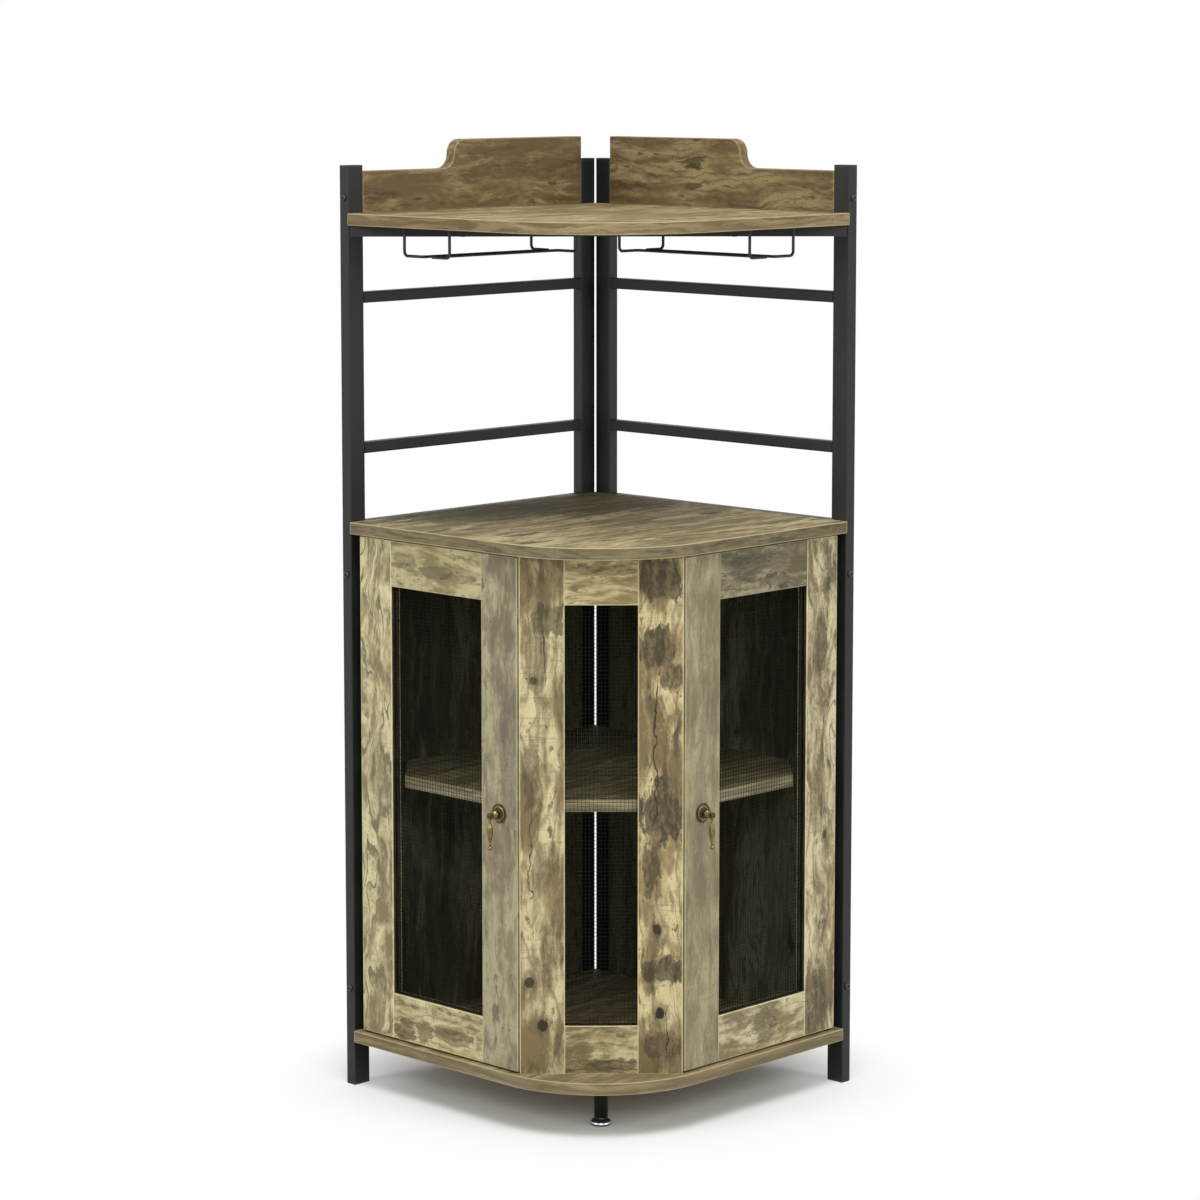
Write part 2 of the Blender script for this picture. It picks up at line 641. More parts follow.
def set_room():
    """A pale floor that keeps the shadow under and beside the cabinet and turns plain white further out,
    under a white sky. The distance outside the plan is that of a square with rounded corners: the length of
    what s and t stand past the inner square, less the rounding."""
    mat = Finish("studio floor")
    half, rounding, size = 0.2425, 0.17, 14.0
    x, y, _ = mat.parts(mat.place())
    deep = CORNER / 1000 - y
    s = abs((deep - x) / ROOT2 - half) - (half - rounding)
    t = abs((deep + x) / ROOT2 - half) - (half - rounding)
    outside = (s.most(0.0) ** 2.0 + t.most(0.0) ** 2.0) ** 0.5 - rounding
    far = outside.step(-0.05, 0.20)
    seen = mat.add("ShaderNodeLightPath", out=0)
    ground = mat.blend(paint(226, 225, 222), paint(254, 254, 253), seen)
    matt = mat.add("ShaderNodeBsdfPrincipled", {},
                   {"Base Color": ground, "Roughness": 0.8, "Specular IOR Level": 0.1})
    white = mat.add("ShaderNodeEmission", {}, {0: (1, 1, 1, 1), 1: 1.0})
    mixed = mat.add("ShaderNodeMixShader", {}, {0: far * looked_at(mat), 1: matt, 2: white})
    mat.add("ShaderNodeOutputMaterial", {}, {0: mixed})
    mesh = bpy.data.meshes.new("studio_floor")
    mesh.from_pydata([(-size, -size, 0), (size, -size, 0), (size, size, 0), (-size, size, 0)], [],
                     [(0, 1, 2, 3)])
    mesh.materials.append(mat.owner)
    floor = bpy.data.objects.new("studio_floor", mesh)
    bpy.context.scene.collection.objects.link(floor)
    world = bpy.data.worlds.new("studio")
    bpy.context.scene.world = world
    sky = Finish("studio", world)
    strength = 0.36 + looked_at(sky) * 0.64
    light = sky.add("ShaderNodeBackground", {}, {0: (1, 1, 1, 1), 1: strength})
    sky.add("ShaderNodeOutputWorld", {}, {0: light})


def softbox(name, at, aim, width, height, power):
    """A rectangular lamp at one place, turned to another; sizes in metres and power in watts."""
    lamp = bpy.data.lights.new(name, "AREA")
    lamp.shape, lamp.size, lamp.size_y, lamp.energy = "RECTANGLE", width, height, power
    box = bpy.data.objects.new(name, lamp)
    bpy.context.scene.collection.objects.link(box)
    box.location = at
    box.visible_camera = False
    box.rotation_euler = (Vector(aim) - Vector(at)).to_track_quat("-Z", "Y").to_euler()


set_camera()
set_room()
softbox("top_softbox", (0.1, -1.5, 3.6), (0, -0.1, 0.7), 1.5, 1.5, 66)
softbox("front_softbox", (0.2, -4.2, 2.2), (0, 0, 0.7), 1.8, 1.0, 34)
softbox("left_softbox", (-3.4, -1.9, 2.0), (0, 0, 0.6), 1.3, 1.8, 32)
softbox("right_softbox", (3.4, -1.9, 2.0), (0, 0, 0.6), 1.3, 1.8, 32)

coat_black = powder_coat("black powder coat", (23, 26, 24), 0.42, 0.36)
net_black = powder_coat("black mesh wire", (22, 24, 20), 0.6, 0.06)
rack_black = powder_coat("black rack wire", (20, 21, 21), 0.36, 0.4)
bolt_black = powder_coat("black bolt", (26, 27, 27), 0.34, 0.5)
brass, zinc, plastic, dowel = antique_brass(), zinc_steel(), black_plastic(), beech_dowel()


# Tubes and small hardware

TUBES = ("front_post", "rear_post", "bottom_rail", "worktop_rail", "lower_guard_rail", "upper_guard_rail",
         "shelf_rail")
for side in SIDES:
    coat(coat_black, *(frame["nodes"][f"{side}_{tube}"] for tube in TUBES))
    dressed(f"{side}_door_pivots", zinc)
    dressed(f"{side}_door_strike", zinc, 0.0002)
coat(coat_black, frame["nodes"]["front_cross_tube"])
for node in ("post_plugs", "pivot_bushes", "leg_insert"):
    dressed(node, plastic)
dressed("door_catches", plastic, 0.0008)
dressed("centre_leg", coat_black)
dressed("centre_dowels", dowel)
dressed("shelf_pins", zinc)


def at_wall(side, s, t, z, order):
    """A maker of places for a turned form: its own a, b and c are added to s, t and z on a wall in the order
    given, so that the axis c lies along the last letter."""
    place = on_wall(side)

    def put(*abc):
        step = dict(zip(order, abc))
        return place(s + step["s"], t + step["t"], z + step["z"])
    return put


def at_middle(x, d, z):
    """A maker of places for a turned form that stands upright in the room."""
    return lambda a, b, c: across(x + a, d + b, z + c)


def post_bolts():
    """Domed bolts with a hexagon socket: heads on the post faces and shanks into the panel ends. A hexagon's
    radius is its half width over the cosine of the angle from the middle of its side."""
    sides, half_width = 24, 1.45
    panel_inset, above_shelf, into_panel = 57, 20, 20
    (s0, t0, _), (s1, t1, _) = span("left_front_post", "left")
    (rear_s0, _, _), _ = span("left_rear_post", "left")
    (_, _, panel_low), (_, _, panel_high) = span("left_rear_panel", "left")
    (_, _, shelf_top), _ = span("left_backboard", "left")
    shank = s1 - s0 + into_panel
    socket = half_width / np.cos(np.mod(round_angles(sides), math.pi / 3) - math.pi / 6)
    head = [2.5, 2.5, 4.5, 4.75, 4.7, 4.3, 3.6, 2.7, 2.2]
    head_high = [1.0 - shank, 0.0, 0.0, 0.3, 1.0, 1.9, 2.6, 2.95, 3.0]
    radii = np.concatenate([per_side([0] + head, sides), socket * np.array([[1.08], [1.0], [0.96]]),
                            per_side([0], sides)])
    heights = [-shank] + head_high + [2.9, 2.7, 1.4, 1.2]
    shells = []
    for side in SIDES:
        place = on_wall(side)
        for z in (panel_low + panel_inset, panel_high - panel_inset, shelf_top + above_shelf):
            for s, out in ((s1, 1), (rear_s0, -1)):
                shells.append(turned(radii, heights, sides, lambda a, b, c: place(
                    s + out * c, (t0 + t1) / 2 + a, z + b)))
    return shells


make("post_bolts", post_bolts(), bolt_black, "frame", "frame_bolts", sharp=40)


def pan_screw(length, place):
    """A screw along c: the shank stands in c above 0 and the domed head below it, a flat cap of a sphere. Its
    cross is cut 0.62 deep where the smaller of |a| and |b| is under 0.42."""
    sides, ball, flat, cross_deep, cross_half, cross_reach = 32, 4.3, 0.4, 0.62, 0.42, 2.25
    rows = np.array([4.0, 3.7, 3.2, 2.7, 2.3, 2.1, 1.6, 1.1, 0.7, flat])
    dome = np.sqrt(1 - (rows / ball) ** 2) / math.sqrt(1 - (flat / ball) ** 2)
    angle = round_angles(sides)
    a, b = np.abs(rows[:, None] * np.cos(angle)), np.abs(rows[:, None] * np.sin(angle))
    recess = cross_deep * (np.minimum(a, b) < cross_half) * (rows[:, None] < cross_reach)
    radii = np.concatenate([[0, 1.9, 2.0, 2.0, 3.9], rows, [0]])
    shank = per_side([length, length, length - 0.6, 0, 0], sides)
    heights = np.concatenate([shank, recess - dome[:, None], per_side([cross_deep - 1.0], sides)])
    return turned(radii, heights, sides, place)


(_, leg_d0, _), (_, leg_d1, leg_top) = span("centre_leg")
LEG_D = (leg_d0 + leg_d1) / 2


def board_screws():
    """Long screws through the rails and the cross tube into the boards, and three short ones in the plate of
    the leg."""
    long, short = 27, 15
    rail_inset, cross_at, plate_ring, plate_thick = 60, 180, 18, 3
    (s0, t0, _), (s1, _, _) = span("left_bottom_rail", "left")
    shells = []
    for board in ("bottom_board", "worktop", "top_shelf"):
        (_, _, z0), (_, _, z1) = span(board)
        shells += [pan_screw(long, at_wall(side, s, t0, (z0 + z1) / 2, "szt"))
                   for side in SIDES for s in (s0 + rail_inset, s1 - rail_inset)]
    (_, d0, z0), (_, d1, _) = span("front_cross_tube")
    shells += [pan_screw(long, at_middle(x, (d0 + d1) / 2, z0)) for x in (-cross_at, cross_at)]
    shells += [pan_screw(short, at_middle(-plate_ring * math.sin(a), LEG_D - plate_ring * math.cos(a),
                                          leg_top - plate_thick)) for a in np.radians([0, 120, 240])]
    return shells


make("pan_screws", board_screws(), zinc, "frame", "wood_screws", sharp=50)


def foot_and_stem():
    """The levelling foot: a rounded pad and a stem whose thread is a ridge that climbs one pitch a turn, the
    distance of (height over pitch less turn) from the middle of its own step."""
    sides, pitch, core, ridge_high, rise = 20, 1.25, 3.35, 0.6, 0.25
    (_, _, low), (_, _, high) = span("leveller_foot")
    pad_r = [0, 11.6, 12.4, 13.2, 13.5, 13.5, 13.3, 13.3, 13.0, 12.6, 11.6, 9.5, 7.6, 7.0, 3.95, 3.95]
    pad_z = [0, 0, 0.15, 0.8, 1.6, 2.4, 2.6, 4.4, 4.7, 5.6, 6.6, 7.2, 7.8, 8.0, 8.0, 8.4]
    climb = np.arange(8.6, high - 1.0, rise)
    turns = round_angles(sides)[None] / (2 * math.pi)
    ridge = np.abs(np.mod(climb[:, None] / pitch - turns, 1) - 0.5) * 2
    radii = np.concatenate([per_side(pad_r, sides), core + ridge_high * ridge, per_side([3.3, 0], sides)])
    heights = np.concatenate([pad_z, climb, [high, high]])
    return turned(radii, heights, sides, at_middle(0, LEG_D, low))


make("levelling_foot", [foot_and_stem()], levelling_foot(), "leveller", "leveller_foot",
     sharp=50)


# Glass racks

def rack_wire(node, side, mirrored):
    """One wire of a rack: down, across to its near side, along the wall and back up."""
    radius, bend = 2.0, 6.0
    (s0, t0, z0), (s1, t1, z1) = span(node, side)
    far, near = (t0 + radius, t1 - radius) if not mirrored else (t1 - radius, t0 + radius)
    start, stop, low = s1 - radius, s0 + radius, z0 + radius
    path = bent([(start, far, z1), (start, far, low), (start, near, low), (stop, near, low), (stop, far, low),
                 (stop, far, z1)], bend)
    return swept(path, radius, 16, on_wall(side))


for side in SIDES:
    for wire, mirrored in (("wall", False), ("room", True)):
        node = f"{side}_rack_{wire}_wire"
        shells = [rack_wire(node, side, mirrored)]
        make(node + "_bent", shells, rack_black, "frame", node, sharp=60)


# Boards

# The directions of s and t in the room, and others that the grain follows
WAYS = {"left": ((-1, -1, 0), (1, -1, 0)), "right": ((1, -1, 0), (-1, -1, 0))}
UP, ACROSS = (0, 0, 1), (1, 0, 0)
FROM_LEFT_WALL = (-1, 1, 0)


def board(node, name, finish, outline, low, high, place, ease=0.8, order="abc", rim=1.2):
    """A board in place of its CAD node: an outline with eased corners, carried from low to high."""
    shells = [bar(eased(outline, rim), low, high, place, ease, order=order)]
    make(name, shells, finish, "frame", node)


plan_looks = {
    "bottom_board": dict(
        seed=3, deep=(104, 92, 68), mid=(142, 127, 94), pale=(176, 161, 124), banded=(138, 122, 90),
        cloud=0.8, fleck=0.6, draw=2.2, streak=1.3),
    "worktop": dict(
        seed=8, deep=(94, 83, 58), mid=(149, 135, 99), pale=(188, 172, 133), shade=(67, 66, 53),
        banded=(97, 91, 73), patch=0.60, figure=0.7, cloud=1.2, fleck=0.6, draw=2.0, streak=1.1, warm=0.45,
        shine=0.03, washes=((150, -190, 90, 90, 0.05), (120, 150, 150, 100, -0.18)),
        stains=((90, 175, 130, 85, 0.9), (-90, 120, 130, 100, 0.85))),
    "top_shelf": dict(
        seed=12, deep=(104, 88, 60), mid=(146, 129, 94), pale=(176, 160, 122), shade=(88, 74, 53),
        banded=(134, 119, 91), figure=0.9, cloud=1.1, fleck=0.8, draw=2.2, streak=1.4, shine=0.03),
}
# A little over the round of the boards, so that the finer arc keeps inside their box
FRONT_ROUND = 176.25
for node, look in plan_looks.items():
    (_, _, z0), (_, _, z1) = span(node)
    (s0, _, _), (s1, _, _) = span(node, "left")
    f = np.linspace(0, SQUARE, 49)
    arc = s1 - FRONT_ROUND + FRONT_ROUND * np.stack([np.cos(f), np.sin(f)], 1)
    outline = np.concatenate([[(s0, s0), (s1, s0)], arc, [(s0, s1)]])
    finish = printed(node, (0, 0, (z0 + z1) / 2), WAYS["left"][0], FROM_LEFT_WALL, **look)
    board(node, node + "_panel", finish, outline, z0, z1, on_wall("left"), 0.9)

rear_look = dict(deep=(47, 47, 35), mid=(83, 84, 62), pale=(114, 115, 88), shade=(42, 42, 32), patch=0.62,
                 fleck=0.6, draw=2.2, streak=0.9, warm=0.15, shine=0.05)
rear_panels = {
    "left": dict(seed=14, washes=((110, 170, 110, 80, -0.32), (-260, 170, 110, 80, -0.26),
                                  (-60, -170, 330, 70, 0.40))),
    "right": dict(seed=16, washes=((130, 170, 130, 80, -0.34), (-120, 150, 160, 80, 0.30),
                                   (-60, -170, 330, 70, 0.40))),
}
back_look = dict(deep=(78, 64, 42), mid=(118, 101, 70), pale=(150, 133, 94), shade=(62, 50, 34), patch=0.58,
                 fleck=0.8, draw=1.6, streak=1.3)
backboards = {
    "left": dict(seed=19, washes=((200, -20, 60, 50, -0.14), (20, 0, 140, 60, 0.06))),
    "right": dict(seed=23, washes=((200, -20, 60, 50, -0.03), (20, 0, 140, 60, 0.06))),
}
REAR_MIDDLE, LOW_HEIGHT, STEP_AT = 400, 55, 290.0
for side in SIDES:
    along, _ = WAYS[side]
    place = on_wall(side)
    (s0, t0, z0), (s1, t1, z1) = span(f"{side}_rear_panel", side)
    finish = printed(f"{side}_rear_panel", (0, 0, REAR_MIDDLE), UP, along, **rear_look, **rear_panels[side])
    board(f"{side}_rear_panel", f"{side}_rear_panel_board", finish, [(s0, t0), (s1, t0), (s1, t1), (s0, t1)],
          z0, z1, place)
    (s0, t0, z0), (s1, t1, z1) = span(f"{side}_backboard", side)
    low, r = z0 + LOW_HEIGHT, (z1 - z0 - LOW_HEIGHT) / 2
    f = np.linspace(0, SQUARE, 13)
    rise = np.stack([STEP_AT + r - r * np.sin(f), low + r - r * np.cos(f)], 1)
    crest = np.stack([STEP_AT - r + r * np.cos(f[1:]), z1 - r + r * np.sin(f[1:])], 1)
    outline = np.concatenate([[(s0, z0), (s1, z0), (s1, low)], rise, crest, [(s0, z1)]])
    middle = (0, 0, (z0 + z1) / 2)
    finish = printed(f"{side}_backboard", middle, along, UP, **back_look, **backboards[side])
    board(f"{side}_backboard", f"{side}_backboard_board", finish, outline, t0, t1, place, order="acb")

CLIP, BEHIND_CENTRE = 75.0, 4
(_, panel_back, _), _ = span("centre_left_stile")
(s0, _, z0), (s1, _, z1) = span("inner_shelf", "left")
total = (panel_back - BEHIND_CENTRE) * ROOT2
outline = [(s0, s0), (s1 - CLIP, s0), (s1, s0 + CLIP), (s1, total - s1), (total - s1, s1), (s0 + CLIP, s1),
           (s0, s1 - CLIP)]
finish = printed("inner_shelf", (0, 0, z0), WAYS["left"][0], FROM_LEFT_WALL, seed=31, deep=(76, 70, 50),
                 mid=(118, 112, 82), pale=(150, 143, 106), banded=(184, 176, 140), cloud=0.8, fleck=0.6,
                 draw=2.2, streak=1.3)
board("inner_shelf", "inner_shelf_board", finish, outline, z0, z1, on_wall("left"), 0.7, rim=1.0)


# Frames of the doors and the centre panel

GROOVE_W, GROOVE_D = 4.0, 8.0
TONGUE_W, TONGUE_OUT, TONGUE_IN = 3.6, 7.8, 0.5


def grooved(low, high, back, face, groove_side, slant=0.0):
    """The section of a stile or rail from low to high across its width and from back to face, with a groove
    in the middle of the side that looks into the window. Slant draws the back in at the plain side, for a 45
    degree edge."""
    middle = (back + face) / 2
    g0, g1 = middle - GROOVE_W / 2, middle + GROOVE_W / 2
    if groove_side > 0:
        return [(low + slant, back), (high, back), (high, g0), (high - GROOVE_D, g0), (high - GROOVE_D, g1),
                (high, g1), (high, face), (low, face)]
    return [(low, back), (high - slant, back), (high, face), (low, face), (low, g1), (low + GROOVE_D, g1),
            (low + GROOVE_D, g0), (low, g0)]


def framed(section, groove_side):
    """The eased outline of a grooved section, whose sides in the window and in the groove are marked -1."""
    radius, strip, clear_of_face = 0.9, 0.45, 1.2
    points, arris = eased(section, radius, strip)
    halfway = (points + np.roll(points, -1, 0)) / 2
    reach = points[:, 0].max() - halfway[:, 0] if groove_side > 0 else halfway[:, 0] - points[:, 0].min()
    back, face = points[:, 1].min(), points[:, 1].max()
    inside = (halfway[:, 1] > back + clear_of_face) & (halfway[:, 1] < face - clear_of_face)
    hidden = (reach < GROOVE_D + 0.1) & inside
    return points, np.where(hidden, -1.0, arris)


def rail_shells(low, high, back, face, ends, groove_side, place, order):
    """A rail with its grooved section, and the two tongues that sit in the grooves of the stiles."""
    start, stop = ends[0] + TONGUE_OUT, ends[1] - TONGUE_OUT
    middle = (back + face) / 2
    t0, t1 = middle - TONGUE_W / 2, middle + TONGUE_W / 2
    section = framed(grooved(low, high, back, face, groove_side), groove_side)
    a0, a1 = (low, high - GROOVE_D) if groove_side > 0 else (low + GROOVE_D, high)
    tongue = eased([(a0, t0), (a1, t0), (a1, t1), (a0, t1)], 0.3, 0.2)
    shells = [bar(section, start, stop, place, 0.25, 0.2, order)]
    for c0, c1 in ((start - TONGUE_OUT, start + TONGUE_IN), (stop - TONGUE_IN, stop + TONGUE_OUT)):
        shells.append(bar(tongue, c0, c1, place, 0.2, 0.1, order))
    return shells


frame_looks = {
    "left_door_hinge_stile": dict(
        seed=41, deep=(126, 117, 89), mid=(184, 173, 132), pale=(220, 210, 166), shade=(104, 95, 74),
        patch=0.65, figure=1.4, cloud=0.8, saw=0.15, warm=0.2,
        washes=((180, 0, 200, 40, 0.05), (-200, 0, 160, 40, 0.05)),
        stains=((30, 2, 42, 13, 0.6), (-95, 10, 26, 9, 0.4), (-255, 4, 30, 10, 0.4)),
        knots=((-104, 2, 10, 4, 0.5),)),
    "left_door_pull_stile": dict(
        seed=43, deep=(118, 110, 88), mid=(146, 138, 111), pale=(176, 167, 134), shade=(106, 99, 88),
        patch=0.61, streak=0.8, cloud=1.1, fleck=0.8, saw=0.25, warm=0.15,
        washes=((-190, 0, 170, 40, 0.32), (250, -10, 60, 20, 0.10)),
        stains=((60, 14, 90, 10, 0.6), (-70, -2, 30, 10, 0.4))),
    "left_door_top_rail": dict(
        seed=45, deep=(124, 113, 82), mid=(185, 173, 130), pale=(198, 189, 144), patch=0.62, cloud=0.8,
        stains=((-60, 8, 20, 8, 0.6), (4, -4, 26, 8, 0.7))),
    "left_door_bottom_rail": dict(
        seed=47, deep=(120, 106, 76), mid=(192, 180, 136), pale=(214, 203, 158), shade=(92, 72, 52),
        patch=0.64, cloud=0.5, warm=0.2,
        stains=((-62, -16, 17, 15, 1.0), (-26, -10, 15, 12, 0.8), (28, -8, 30, 9, 0.8))),
    "centre_left_stile": dict(
        seed=51, deep=(94, 83, 58), mid=(156, 142, 105), pale=(208, 197, 152),
        patch=0.62, figure=0.6, cloud=0.9, fleck=0.45, streak=1.1, warm=0.45, crack=0.5,
        washes=((310, 0, 34, 40, -0.20), (215, 12, 70, 22, -0.08), (120, -14, 80, 16, 0.12),
                (20, -16, 60, 18, -0.16), (-90, -14, 66, 22, 0.24), (-60, 20, 80, 10, -0.16),
                (-180, 8, 50, 24, -0.10), (-238, 12, 30, 18, 0.12), (-310, 0, 30, 40, -0.20)),
        shakes=((165, 250, 4, 0.7), (-120, 20, -14, 0.6)),
        stains=((258, 8, 18, 18, 0.9), (205, -8, 40, 12, 0.6), (60, -16, 40, 11, 0.6), (-70, 0, 26, 12, 0.6)),
        knots=((178, -10, 6, 5, 0.8), (-218, -16, 8.5, 7, 0.9), (-275, 1, 9, 7.5, 1.0))),
    "centre_right_stile": dict(
        seed=54, deep=(78, 69, 49), mid=(154, 138, 100), pale=(210, 195, 147), shade=(66, 58, 43),
        patch=0.62, figure=0.6, cloud=0.9, fleck=0.7, streak=1.1, warm=0.5,
        washes=((318, 0, 30, 40, -0.30), (262, 4, 24, 26, 0.22), (172, 12, 26, 20, 0.26),
                (95, 0, 60, 30, -0.10), (-60, 4, 40, 26, 0.14), (-110, 0, 40, 30, 0.22),
                (-242, 6, 28, 26, 0.24), (-312, 0, 22, 40, -0.24)),
        shakes=((-20, 185, -7, 0.9), (-330, -240, 9, 0.6)),
        stains=((308, 0, 22, 24, 0.95), (220, -6, 22, 24, 1.0), (182, 14, 18, 14, 0.9), (6, 0, 34, 26, 1.0),
                (-60, -12, 34, 12, 0.9), (-202, 4, 14, 26, 0.95), (-302, 2, 14, 24, 0.7)),
        knots=((-148, -5, 8, 6, 0.9), (-259, -1, 9, 7, 1.0))),
    "centre_top_rail": dict(
        seed=56, deep=(120, 107, 72), mid=(206, 192, 142), pale=(224, 213, 162), patch=0.64, cloud=0.8,
        figure=1.1, fleck=0.8, stains=((8, 14, 44, 6, 0.8),)),
    "centre_bottom_rail": dict(
        seed=58, deep=(92, 80, 56), mid=(160, 147, 107), pale=(200, 189, 143), patch=0.61, figure=0.9,
        stains=((16, -20, 34, 6, 0.9), (-20, -30, 30, 6, 0.7))),
    "right_door_pull_stile": dict(
        seed=61, deep=(122, 114, 89), mid=(152, 143, 113), pale=(174, 164, 131), shade=(110, 103, 92),
        patch=0.62, streak=0.8, cloud=0.8, fleck=0.6, saw=0.25, warm=0.15,
        stains=((-6, 6, 70, 12, 0.5), (130, -14, 26, 8, 0.5))),
    "right_door_top_rail": dict(
        seed=63, deep=(80, 75, 60), mid=(122, 115, 90), pale=(158, 150, 119), shade=(70, 66, 53), patch=0.60,
        stains=((30, 6, 34, 14, 0.8), (-20, 10, 22, 12, 0.6))),
    "right_door_bottom_rail": dict(
        seed=65, deep=(120, 108, 83), mid=(184, 172, 133), pale=(214, 204, 163), patch=0.63, cloud=0.8,
        stains=((-6, 0, 20, 22, 0.75),)),
    "right_door_hinge_stile": dict(
        seed=67, deep=(98, 90, 70), mid=(182, 170, 134), pale=(216, 206, 166), patch=0.62, figure=0.8,
        cloud=0.8,
        washes=((290, 0, 50, 40, -0.16), (60, 0, 110, 40, 0.06), (-150, 0, 90, 40, 0.12),
                (-300, 0, 50, 40, -0.26)),
        stains=((190, 4, 40, 12, 0.8), (-20, 8, 36, 12, 0.5), (-290, 4, 40, 18, 0.8)),
        knots=((-66, -8, 7, 5, 0.8),)),
}


def frame_piece(node, centre, along, up, shells, body):
    """A stile or rail in place of its CAD node, printed as its own look says."""
    finish = printed(node, centre, along, up, **frame_looks[node])
    make(node + "_board", shells, finish, body, node)


for side in SIDES:
    place = on_wall(side)
    _, into_room = WAYS[side]
    for part, groove_side in (("hinge_stile", 1), ("pull_stile", -1), ("bottom_rail", 1), ("top_rail", -1)):
        node = f"{side}_door_{part}"
        (s0, t0, z0), (s1, t1, z1) = span(node, side)
        centre = place((s0 + s1) / 2, (t0 + t1) / 2, (z0 + z1) / 2)
        if part.endswith("stile"):
            section = framed(grooved(t0, t1, s0, s1, groove_side), groove_side)
            shells, grain, up = [bar(section, z0, z1, place, order="bac")], UP, into_room
        else:
            shells = rail_shells(z0, z1, s0, s1, (t0, t1), groove_side, place, "bca")
            grain, up = into_room, UP
        frame_piece(node, centre, grain, up, shells, f"{side}_door")

for node, hand in (("centre_left_stile", -1), ("centre_right_stile", 1)):
    (x0, d0, z0), (x1, d1, z1) = span(node)
    inner, outer = sorted((abs(x0), abs(x1)))
    section = framed(grooved(inner, outer, d0, d1, -1, d1 - d0), -1)
    shells = [bar(section, z0, z1, lambda x, d, z: across(hand * x, d, z), 0.3)]
    frame_piece(node, across((x0 + x1) / 2, d1, (z0 + z1) / 2), UP, ACROSS, shells, "frame")
for node, groove_side in (("centre_bottom_rail", 1), ("centre_top_rail", -1)):
    (x0, d0, z0), (x1, d1, z1) = span(node)
    shells = rail_shells(z0, z1, d0, d1, (x0, x1), groove_side, across, "cba")
    frame_piece(node, across((x0 + x1) / 2, d1, (z0 + z1) / 2), ACROSS, UP, shells, "frame")


# Fine wire mesh

PITCH, WIRE = 5.05, 0.6
EDGE_INSET, EDGE_BAND, EDGE_HALF = 2, 3, 1.2


def wires(crosswise, fixed, low, high, plane, put, sides=6):
    """Straight wires as prisms: rings of half a wire's thickness around each place in fixed, from low to high
    beside the plane. Crosswise wires run across the window and the others upright."""
    angle = (np.arange(sides) + 0.5) * 2 * math.pi / sides
    ring = WIRE / 2 * np.stack([np.cos(angle), np.sin(angle)], -1)
    count = len(fixed)
    off = np.repeat((fixed[:, None] + ring[None, :, 0])[:, None], 2, 1)
    out = np.broadcast_to(plane + ring[None, None, :, 1], off.shape)
    run = np.broadcast_to(np.array([low, high])[None, :, None], off.shape)
    w, z = (run, off) if crosswise else (off, run)
    index = np.arange(count * 2 * sides).reshape(count, 2, sides)
    right = np.roll(index, -1, 2)
    quads = np.stack([index[:, 0], right[:, 0], right[:, 1], index[:, 1]], -1).reshape(-1, 4)
    return {"points": put(w, z, out).reshape(-1, 3), "faces": quads,
            "caps": list(index[:, 0, ::-1]) + list(index[:, 1])}


def net(node, side, body):
    """A net of two layers of wires that touch in the plane of the panel, within a thin edge band that sits in
    the grooves. The wires stand one pitch apart, evenly about the middle."""
    (a0, b0, z0), (a1, b1, z1) = span(node, side)
    if side:
        wall = on_wall(side)
        plane, low, high = (a0 + a1) / 2, b0, b1
    else:
        plane, low, high = (b0 + b1) / 2, a0, a1

    def put(w, z, out):
        return wall(out, w, z) if side else across(w, out, z)

    shells = []
    for crosswise, (f0, f1), (r0, r1) in ((True, (z0, z1), (low, high)), (False, (low, high), (z0, z1))):
        spare = (f1 - f0 - 2 * EDGE_INSET) % PITCH
        fixed = np.arange(f0 + EDGE_INSET + spare / 2, f1 - EDGE_INSET + 0.1, PITCH)
        layer = plane + (-WIRE if crosswise else WIRE) * 0.45
        shells.append(wires(crosswise, fixed, r0 + WIRE, r1 - WIRE, layer, put))
    for w0, w1, v0, v1 in ((low, high, z0, z0 + EDGE_BAND), (low, high, z1 - EDGE_BAND, z1),
                           (low, low + EDGE_BAND, z0, z1), (high - EDGE_BAND, high, z0, z1)):
        edge = eased([(w0, v0), (w1, v0), (w1, v1), (w0, v1)], 0.4, 0.2)
        shells.append(bar(edge, plane - EDGE_HALF, plane + EDGE_HALF, put, 0.3, 0.1))
    make(node + "_wires", shells, net_black, body, node, sharp=70)


net("left_door_mesh", "left", "left_door")
net("right_door_mesh", "right", "right_door")
net("centre_mesh", None, "frame")


# Brass pulls

def half_round(middle, height, radius, start, stop, steps):
    """Points on an arc about a place in a section, from one angle to another."""
    f = np.linspace(start, stop, steps)
    return np.stack([middle + radius * np.cos(f), height + radius * np.sin(f)], 1)


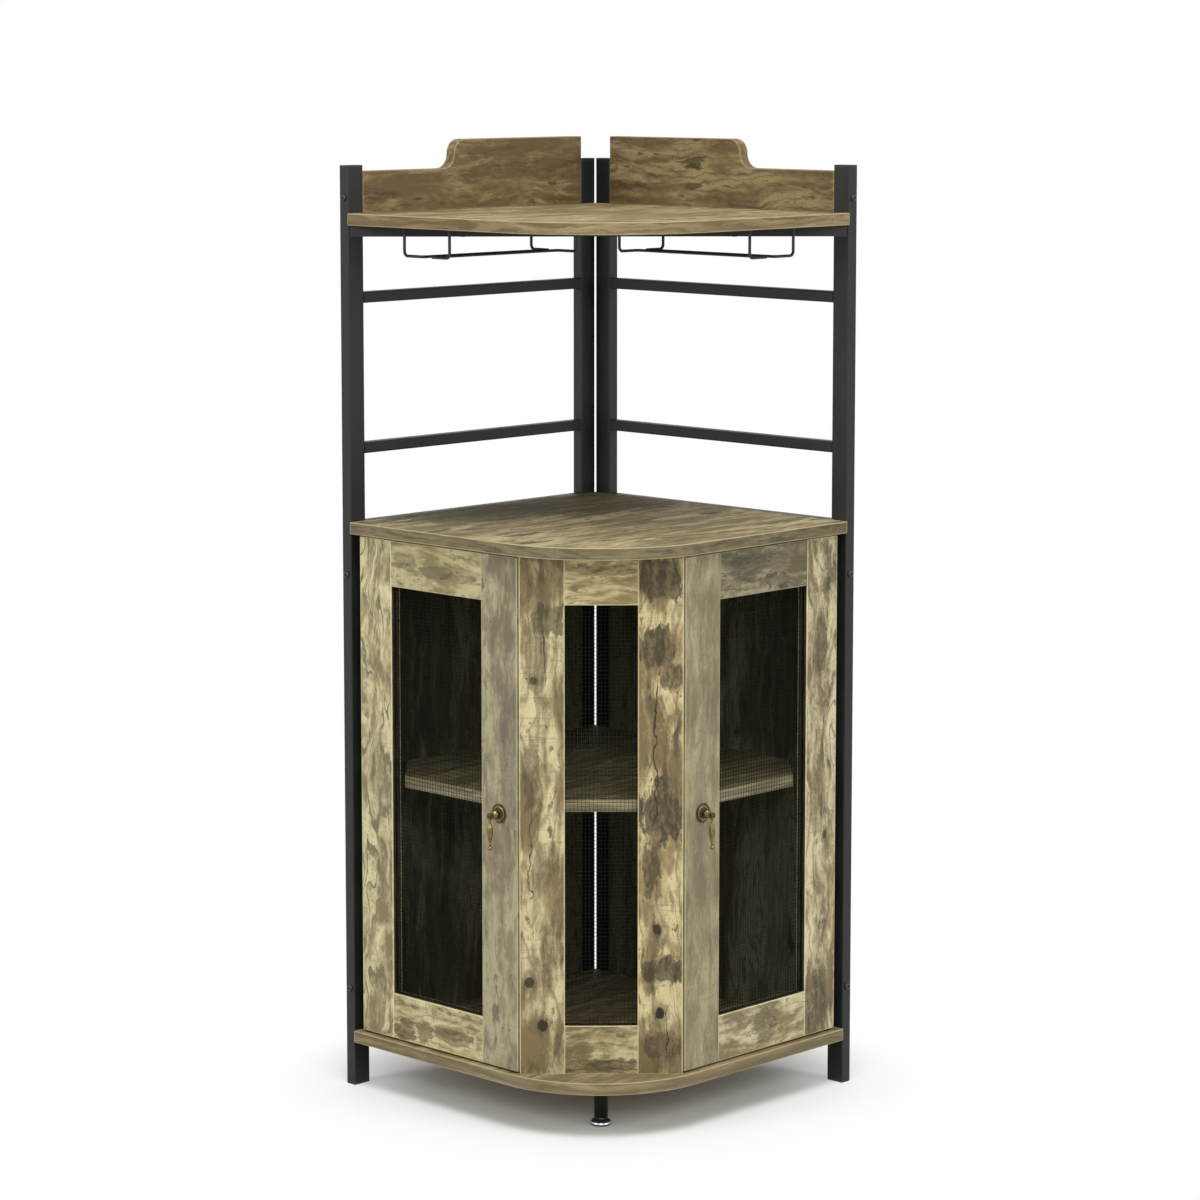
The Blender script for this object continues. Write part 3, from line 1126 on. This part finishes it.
def rose(side, face, mid_t, mid_z, pin):
    """The plate of a pull: a turned rose with a ball, a shank into the stile and a lug for the pin."""
    ball, ball_out, lug_root, lug_half, half_thick = 6, 8, 12.5, 2.5, 1.5
    f = np.linspace(math.radians(-50), SQUARE, 16)
    plate_r = [0, 12.6, 13.0, 13.0, 12.7, 12.1, 11.5, 11.1, 10.7, 10.0, 9.0, 8.1, 7.5, 7.1, 6.7, 6.2, 5.4,
               4.6, 4.1]
    plate_h = [0, 0, 0.3, 0.9, 1.4, 1.6, 1.4, 1.0, 0.95, 1.5, 1.9, 2.1, 2.0, 1.6, 1.6, 2.2, 2.8, 3.1, 3.3]
    radii = np.concatenate([plate_r, ball * np.cos(f)[:-1], [0]])
    heights = np.concatenate([plate_h, ball_out + ball * np.sin(f)[:-1], [ball_out + ball]])
    hollow = (heights < 1.45) | ((radii < 8.0) & (heights < 3.2))
    outward = at_wall(side, face, mid_t, mid_z, "tzs")
    lug = np.concatenate([[(face + lug_root, mid_z - lug_half)],
                          half_round(pin, mid_z, lug_half, -SQUARE, SQUARE, 9),
                          [(face + lug_root, mid_z + lug_half)]])
    return [turned(radii, heights, 40, outward, hollow),
            turned([0, 1.7, 2.0, 2.0, 0], [-12, -12, -11.4, 0.4, 0.4], 20, outward),
            bar(eased(lug, 0.3, 0.2), mid_t - half_thick, mid_t + half_thick, on_wall(side), 0.3, 0.1, "acb")]


def pendant(side, mid_t, mid_z, pin):
    """The drop of a pull: two cheeks beside the lug, the yoke under it, the pin, the turned stem and the
    ball at its tip."""
    place = on_wall(side)
    half, cheek_thick = 3.3, 1.5
    tip, tip_low = 3, -43
    stem_r = [0, 2.6, 2.9, 2.0, 1.5, 1.35, 1.5, 2.4, 3.3, 3.85, 4.0, 3.8, 3.3, 2.6, 1.9, 1.45, 1.3, 1.9, 2.1,
              1.7, 1.35, 0]
    stem_z = [-3.4, -3.4, -4.5, -5.3, -6.5, -8.5, -10.5, -13.0, -15.5, -18.5, -21.5, -25.0, -28.5, -31.5,
              -34.0, -35.8, -36.6, -37.2, -37.8, -38.4, -40.3, -41.0]
    cheek = eased(np.concatenate([[(pin - 2.4, mid_z - 4.2), (pin + 2.4, mid_z - 4.2)],
                                  half_round(pin, mid_z, 2.5, 0, math.pi, 13)]), 0.3, 0.2)
    shells = [bar(cheek, mid_t + t, mid_t + t + cheek_thick, place, 0.25, 0.1, "acb")
              for t in (-half, half - cheek_thick)]
    yoke = eased([(pin - 2.5, mid_t - half), (pin + 2.5, mid_t - half), (pin + 2.5, mid_t + half),
                  (pin - 2.5, mid_t + half)], 0.6, 0.2)
    shells.append(bar(yoke, mid_z - 4.3, mid_z - 2.9, place, 0.3, 0.1))
    shells.append(turned([0, 0.9, 1.0, 1.0, 0.9, 0], [-half, -half, -3.2, 3.2, half, half], 20,
                         at_wall(side, pin, mid_t, mid_z, "szt")))
    hanging = at_wall(side, pin, mid_t, mid_z, "stz")
    shells.append(turned(stem_r, stem_z, 32, hanging))
    f = np.linspace(-SQUARE, SQUARE, 13)
    shells.append(turned(tip * np.cos(f), tip_low + tip * np.sin(f), 32, hanging))
    return shells


for side in SIDES:
    _, (face, _, _) = span(f"{side}_door_pull_stile", side)
    (_, t0, z0), (_, t1, z1) = span(f"{side}_pull_plate", side)
    (p0, _, _), (p1, _, _) = span(f"{side}_pull_drop", side)
    mid_t, mid_z, pin = (t0 + t1) / 2, (z0 + z1) / 2, (p0 + p1) / 2
    make(f"{side}_pull_rose", rose(side, face, mid_t, mid_z, pin), brass, f"{side}_door",
         f"{side}_pull_plate", sharp=60)
    make(f"{side}_pull_pendant", pendant(side, mid_t, mid_z, pin), brass, f"{side}_drop",
         f"{side}_pull_drop", sharp=60)
